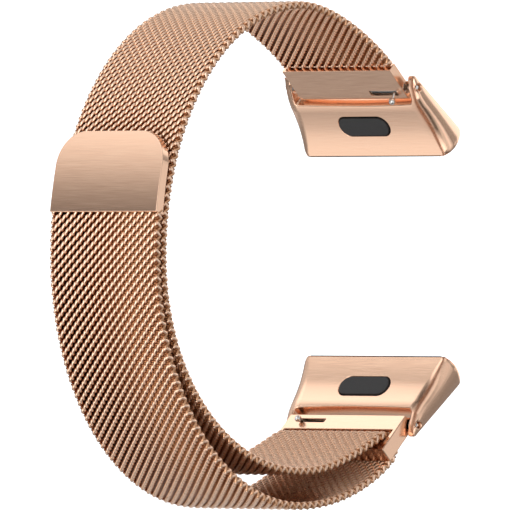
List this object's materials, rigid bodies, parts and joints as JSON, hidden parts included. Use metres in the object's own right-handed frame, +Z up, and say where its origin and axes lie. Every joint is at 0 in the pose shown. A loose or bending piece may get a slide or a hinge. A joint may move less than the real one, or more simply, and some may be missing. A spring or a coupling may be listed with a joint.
{
  "type": "woven metal watch band",
  "caption": "Rose-gold woven metal loop band with a magnetic clasp, a loop frame and two push-button watch connectors on spring bars.",
  "frame": {"origin": "middle of the wrist opening, midway across the band", "axes": "+Z up the loop towards the upper connector, +X from the wrist to the watch, Y across the band"},
  "size_m": [0.0569, 0.0274, 0.0684],
  "materials": {
    "woven_mesh": "woven wire, polished, rose-gold coating",
    "rose_metal": "satin rose-gold coating",
    "steel": "polished bare steel",
    "spring_steel": "drawn spring wire and leaf",
    "release_button": "matte dark grey, fine moulded texture",
    "magnet": "nickel plated"
  },
  "bodies": {
    "band_body": {"mesh_upper_back": "woven_mesh", "mesh_under_clasp": "woven_mesh", "mesh_behind": "woven_mesh", "mesh_lower_back": "woven_mesh", "mesh_bottom": "woven_mesh", "mesh_lower_front": "woven_mesh", "mesh_fold": "woven_mesh"},
    "band_top_back": {"mesh_top_back": "woven_mesh"},
    "band_top_front": {"mesh_top_front": "woven_mesh"},
    "band_upper_end": {"mesh_upper_end": "woven_mesh", "upper_end_piece": "rose_metal", "upper_spring_bar_tube": "steel", "upper_spring_bar_pin": "steel", "upper_spring_bar_spring": "spring_steel"},
    "upper_lever": {"upper_release_lever": "steel"},
    "upper_connector": {"upper_connector_shell": "rose_metal", "upper_case_plug": "steel", "upper_latch_spring": "spring_steel"},
    "upper_button": {"upper_release_button": "release_button"},
    "upper_latch_arm": {"upper_latch": "steel"},
    "frame": {"loop_frame": "rose_metal", "lower_spring_bar_tube": "steel", "lower_spring_bar_pin": "steel", "lower_spring_bar_spring": "spring_steel"},
    "lower_lever": {"lower_release_lever": "steel"},
    "lower_connector": {"lower_connector_shell": "rose_metal", "lower_case_plug": "steel", "lower_latch_spring": "spring_steel"},
    "lower_button": {"lower_release_button": "release_button"},
    "lower_latch_arm": {"lower_latch": "steel"},
    "free_end_front": {"mesh_free_front": "woven_mesh", "mesh_free_bottom": "woven_mesh"},
    "free_end_back": {"mesh_free_lower_back": "woven_mesh", "mesh_free_behind": "woven_mesh", "clasp_cover": "rose_metal", "clasp_back_plate": "rose_metal", "clasp_magnet_1": "magnet", "clasp_magnet_2": "magnet", "clasp_magnet_3": "magnet"}
  },
  "joints": [
    {"name": "upper_back_flex", "type": "hinge", "parent": "band_body", "child": "band_top_back", "pos_m": [-0.01502, 0, 0.02802], "axis": [0, 1, 0], "range_deg": [-12, 8]},
    {"name": "upper_mid_flex", "type": "hinge", "parent": "band_top_back", "child": "band_top_front", "pos_m": [-0.00244, 0, 0.03366], "axis": [0, 1, 0], "range_deg": [-12, 8]},
    {"name": "upper_front_flex", "type": "hinge", "parent": "band_top_front", "child": "band_upper_end", "pos_m": [0.00915, 0, 0.03131], "axis": [0, 1, 0], "range_deg": [-12, 8]},
    {"name": "upper_lever_slide", "type": "slide", "parent": "band_upper_end", "child": "upper_lever", "axis": [0, 1, 0], "range_m": [0, 0.0015], "stiffness_N_per_m": 300, "springref_m": -0.0008, "deforming": ["upper_spring_bar_spring"]},
    {"name": "upper_connector_hinge", "type": "hinge", "parent": "band_upper_end", "child": "upper_connector", "pos_m": [0.02035, 0, 0.0229], "axis": [0, 1, 0], "range_deg": [-60, 5]},
    {"name": "upper_button_press", "type": "slide", "parent": "upper_connector", "child": "upper_button", "axis": [0.8158, 0, 0.5783], "range_m": [0, 0.0005], "stiffness_N_per_m": 800, "springref_m": -0.0003, "deforming": ["upper_latch_spring"]},
    {"name": "upper_latch_slide", "type": "slide", "parent": "upper_connector", "child": "upper_latch_arm", "axis": [0.8158, 0, 0.5783], "range_m": [0, 0.0005]},
    {"name": "loop_frame_hinge", "type": "hinge", "parent": "band_body", "child": "frame", "pos_m": [0.01632, 0, -0.02615], "axis": [0, -1, 0], "range_deg": [-10, 5]},
    {"name": "lower_lever_slide", "type": "slide", "parent": "frame", "child": "lower_lever", "axis": [0, -1, 0], "range_m": [0, 0.0015], "stiffness_N_per_m": 300, "springref_m": -0.0008, "deforming": ["lower_spring_bar_spring"]},
    {"name": "lower_connector_hinge", "type": "hinge", "parent": "frame", "child": "lower_connector", "pos_m": [0.02035, 0, -0.0229], "axis": [0, -1, 0], "range_deg": [-60, 45]},
    {"name": "lower_button_press", "type": "slide", "parent": "lower_connector", "child": "lower_button", "axis": [0.8158, 0, -0.5783], "range_m": [0, 0.0005], "stiffness_N_per_m": 800, "springref_m": -0.0003, "deforming": ["lower_latch_spring"]},
    {"name": "lower_latch_slide", "type": "slide", "parent": "lower_connector", "child": "lower_latch_arm", "axis": [0.8158, 0, -0.5783], "range_m": [0, 0.0005]},
    {"name": "free_end_open", "type": "hinge", "parent": "band_body", "child": "free_end_front", "pos_m": [0.01757, 0, -0.02759], "axis": [0, -1, 0], "range_deg": [0, 15]},
    {"name": "free_end_peel", "type": "hinge", "parent": "free_end_front", "child": "free_end_back", "pos_m": [-0.01572, 0, -0.02783], "axis": [0, -1, 0], "range_deg": [0, 25]}
  ],
  "couplings": [
    {"joint": "upper_latch_slide", "follows": "upper_button_press", "ratio": 1},
    {"joint": "lower_latch_slide", "follows": "lower_button_press", "ratio": 1}
  ]
}
